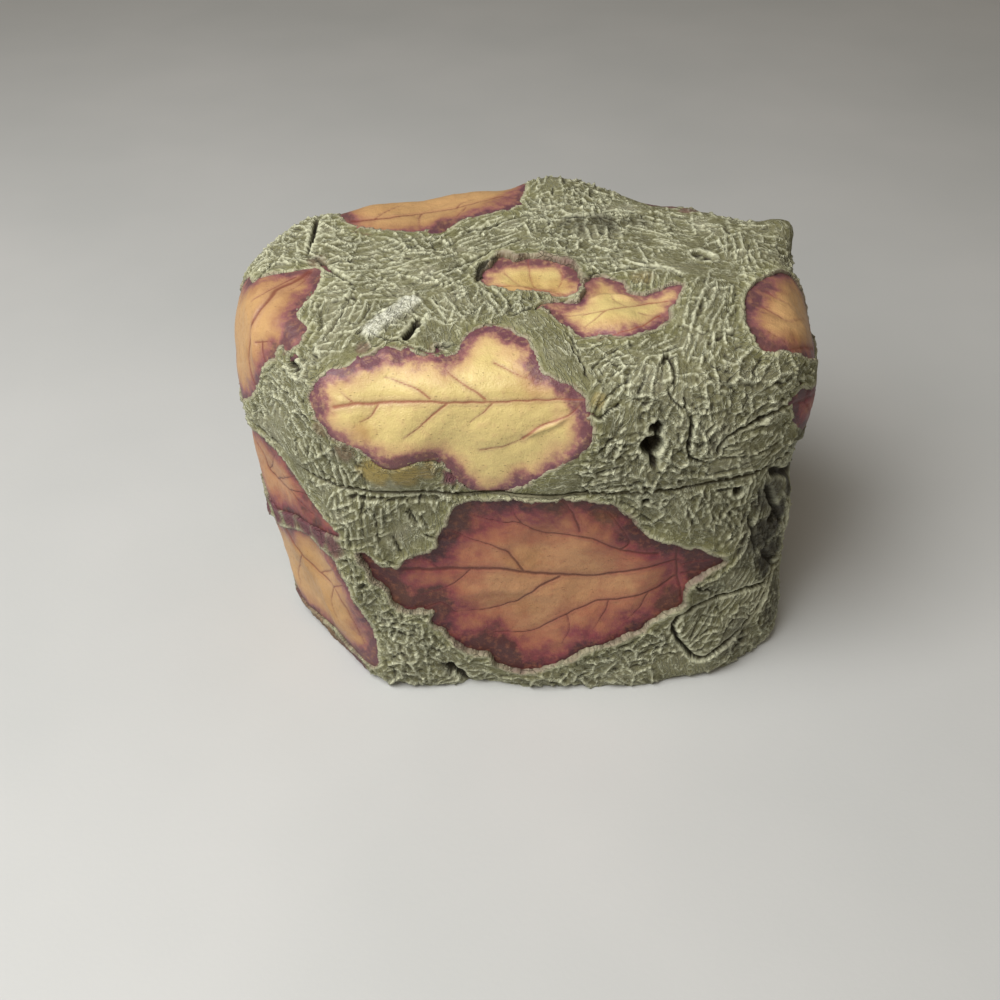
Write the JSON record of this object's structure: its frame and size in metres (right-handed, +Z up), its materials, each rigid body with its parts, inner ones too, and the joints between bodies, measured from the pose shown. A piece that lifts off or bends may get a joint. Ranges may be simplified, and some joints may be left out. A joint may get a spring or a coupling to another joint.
{
  "type": "trinket box",
  "caption": "Lidded keepsake box of hand-worked clay with an irregular rounded octagonal plan, a lift-off lid on an inner collar, and inlaid leaves.",
  "frame": {"origin": "under the middle of the box, on the surface it stands on", "axes": "+X to the box's right as seen from the front, +Y to the back, +Z up through the lid"},
  "size_m": [0.1165, 0.0819, 0.0809],
  "materials": {
    "green_clay": "matte, crinkled",
    "inner_clay": "matte, smooth",
    "yellow_leaf_clay": "satin",
    "orange_leaf_clay": "satin",
    "red_leaf_clay": "satin"
  },
  "bodies": {
    "base": {"base_shell": "green_clay", "rim_collar": "inner_clay", "base_front_leaf": "red_leaf_clay", "base_left_leaf": "red_leaf_clay", "base_low_leaf": "orange_leaf_clay", "base_right_leaf": "orange_leaf_clay", "base_back_leaf": "red_leaf_clay"},
    "lid": {"lid_shell": "green_clay", "lid_front_leaf": "yellow_leaf_clay", "lid_top_leaf": "yellow_leaf_clay", "lid_fold_leaf": "yellow_leaf_clay", "lid_left_leaf": "orange_leaf_clay", "lid_right_leaf": "orange_leaf_clay", "lid_low_leaf": "red_leaf_clay", "lid_back_leaf": "orange_leaf_clay", "lid_corner_leaf": "red_leaf_clay"}
  },
  "joints": [
    {"name": "lid_lift", "type": "slide", "parent": "base", "child": "lid", "axis": [0, 0, 1], "range_m": [0, 0.06]}
  ]
}
